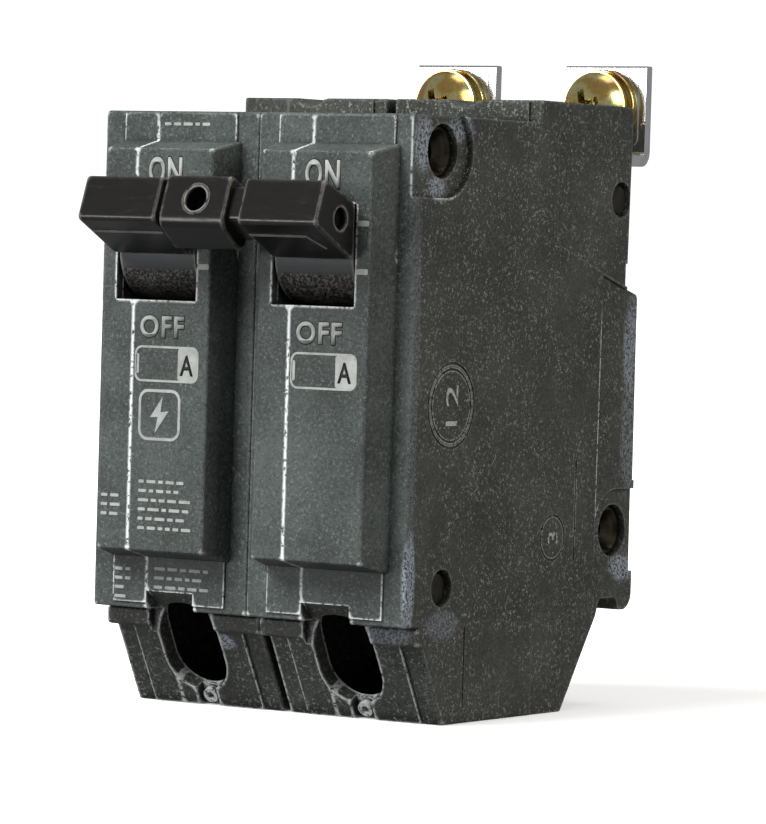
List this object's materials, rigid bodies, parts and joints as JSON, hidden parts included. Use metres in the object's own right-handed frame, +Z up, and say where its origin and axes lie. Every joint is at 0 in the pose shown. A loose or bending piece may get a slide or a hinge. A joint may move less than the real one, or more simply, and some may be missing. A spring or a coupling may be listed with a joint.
{
  "type": "moulded-case circuit breaker",
  "caption": "Bolt-on moulded-case breaker with a common toggle handle, rear bus tabs with screws, screw terminals at the foot and a full latch, contact and arc-chute mechanism inside.",
  "frame": {"origin": "middle of the part's foot, on the flat that it stands on, midway between its foremost and rearmost points", "axes": "+Z up along the case, +Y from the handle side to the bus tabs, +X to the right seen from the handle side"},
  "size_m": [0.0508, 0.09, 0.0903],
  "materials": {
    "case": "charcoal phenolic moulding, matt with a fine grain, scuffed pale along edges",
    "handle": "glossy black moulding",
    "trip_bar": "plain moulded plastic",
    "copper": "stamped copper",
    "silver": "silver-alloy contact",
    "tin": "bright tin plate",
    "zinc": "yellow zinc plate",
    "steel": "pressed steel",
    "dark_steel": "oil-blackened steel",
    "rivet": "dull plated steel",
    "spring": "spring wire",
    "bimetal": "rolled two-metal strip",
    "brass": "turned brass",
    "lug": "extruded aluminium",
    "print": "pale pad-printed ink, slightly worn",
    "fibre": "pressed fibre board"
  },
  "bodies": {
    "case": {"left_case_base": "case", "left_case_cover": "case", "left_line_strap": "tin", "left_fixed_contact": "silver", "left_arc_plates": "steel", "left_arc_chute_boards": "fibre", "left_cradle_pin": "steel", "left_toggle_spring": "spring", "left_armature_pin": "steel", "left_armature_spring": "spring", "left_magnet_yoke": "steel", "left_bimetal": "bimetal", "left_calibration_screw": "brass", "left_load_strap": "copper", "left_braid": "copper", "left_lug": "lug", "right_case_base": "case", "right_case_cover": "case", "right_line_strap": "tin", "right_fixed_contact": "silver", "right_arc_plates": "steel", "right_arc_chute_boards": "fibre", "right_cradle_pin": "steel", "right_toggle_spring": "spring", "right_armature_pin": "steel", "right_armature_spring": "spring", "right_magnet_yoke": "steel", "right_bimetal": "bimetal", "right_calibration_screw": "brass", "right_load_strap": "copper", "right_braid": "copper", "right_lug": "lug", "case_eyelets": "rivet", "case_rivets": "rivet"},
    "handle": {"left_handle": "handle", "right_handle": "handle", "handle_tie": "handle", "tie_pin": "dark_steel", "left_arm_pin": "steel", "right_arm_pin": "steel"},
    "left_contact": {"left_contact_arm": "copper", "left_moving_contact": "silver"},
    "left_cradle_lever": {"left_cradle": "steel"},
    "left_armature_flap": {"left_armature": "steel"},
    "left_line_screw_set": {"left_line_screw": "zinc", "left_lock_washer": "zinc", "left_flat_washer": "zinc"},
    "left_terminal_screw": {"left_lug_screw": "dark_steel"},
    "right_contact": {"right_contact_arm": "copper", "right_moving_contact": "silver"},
    "right_cradle_lever": {"right_cradle": "steel"},
    "right_armature_flap": {"right_armature": "steel"},
    "right_line_screw_set": {"right_line_screw": "zinc", "right_lock_washer": "zinc", "right_flat_washer": "zinc"},
    "right_terminal_screw": {"right_lug_screw": "dark_steel"},
    "trip": {"trip_bar": "trip_bar"}
  },
  "joints": [
    {"name": "handle_toggle", "type": "hinge", "parent": "case", "child": "handle", "pos_m": [0, -0.02903, 0.06205], "axis": [1, 0, 0], "range_deg": [0, 45]},
    {"name": "trip_turn", "type": "hinge", "parent": "case", "child": "trip", "pos_m": [0, 0.00567, 0.052], "axis": [1, 0, 0], "range_deg": [0, 15], "stiffness_Nm_per_rad": 0.02, "springref_deg": -8.59},
    {"name": "left_contact_swing", "type": "hinge", "parent": "handle", "child": "left_contact", "pos_m": [-0.0127, -0.01898, 0.05758], "axis": [1, 0, 0], "range_deg": [-81.9, 0], "deforming": ["left_toggle_spring", "left_braid"]},
    {"name": "left_cradle_swing", "type": "hinge", "parent": "case", "child": "left_cradle_lever", "pos_m": [-0.0127, -0.02183, 0.05], "axis": [1, 0, 0], "range_deg": [-15, 0]},
    {"name": "left_armature_swing", "type": "hinge", "parent": "case", "child": "left_armature_flap", "pos_m": [-0.0127, 0.00567, 0.024], "axis": [1, 0, 0], "range_deg": [-5, 0], "deforming": ["left_armature_spring"]},
    {"name": "left_line_screw_turn", "type": "hinge", "parent": "case", "child": "left_line_screw_set", "pos_m": [-0.0127, 0.03917, 0.0844], "axis": [0, 1, 0], "continuous": true},
    {"name": "left_terminal_screw_turn", "type": "hinge", "parent": "case", "child": "left_terminal_screw", "pos_m": [-0.0127, -0.01219, 0.01492], "axis": [0, -0.8789, -0.4771], "continuous": true},
    {"name": "right_contact_swing", "type": "hinge", "parent": "handle", "child": "right_contact", "pos_m": [0.0127, -0.01898, 0.05758], "axis": [1, 0, 0], "range_deg": [-81.9, 0], "deforming": ["right_toggle_spring", "right_braid"]},
    {"name": "right_cradle_swing", "type": "hinge", "parent": "case", "child": "right_cradle_lever", "pos_m": [0.0127, -0.02183, 0.05], "axis": [1, 0, 0], "range_deg": [-15, 0]},
    {"name": "right_armature_swing", "type": "hinge", "parent": "case", "child": "right_armature_flap", "pos_m": [0.0127, 0.00567, 0.024], "axis": [1, 0, 0], "range_deg": [-5, 0], "deforming": ["right_armature_spring"]},
    {"name": "right_line_screw_turn", "type": "hinge", "parent": "case", "child": "right_line_screw_set", "pos_m": [0.0127, 0.03917, 0.0844], "axis": [0, 1, 0], "continuous": true},
    {"name": "right_terminal_screw_turn", "type": "hinge", "parent": "case", "child": "right_terminal_screw", "pos_m": [0.0127, -0.01219, 0.01492], "axis": [0, -0.8789, -0.4771], "continuous": true}
  ],
  "couplings": [
    {"joint": "left_contact_swing", "follows": "handle_toggle", "ratio": -1.82},
    {"joint": "left_cradle_swing", "follows": "trip_turn", "ratio": -1},
    {"joint": "left_armature_swing", "follows": "trip_turn", "ratio": -0.33333},
    {"joint": "right_contact_swing", "follows": "handle_toggle", "ratio": -1.82},
    {"joint": "right_cradle_swing", "follows": "trip_turn", "ratio": -1},
    {"joint": "right_armature_swing", "follows": "trip_turn", "ratio": -0.33333}
  ]
}
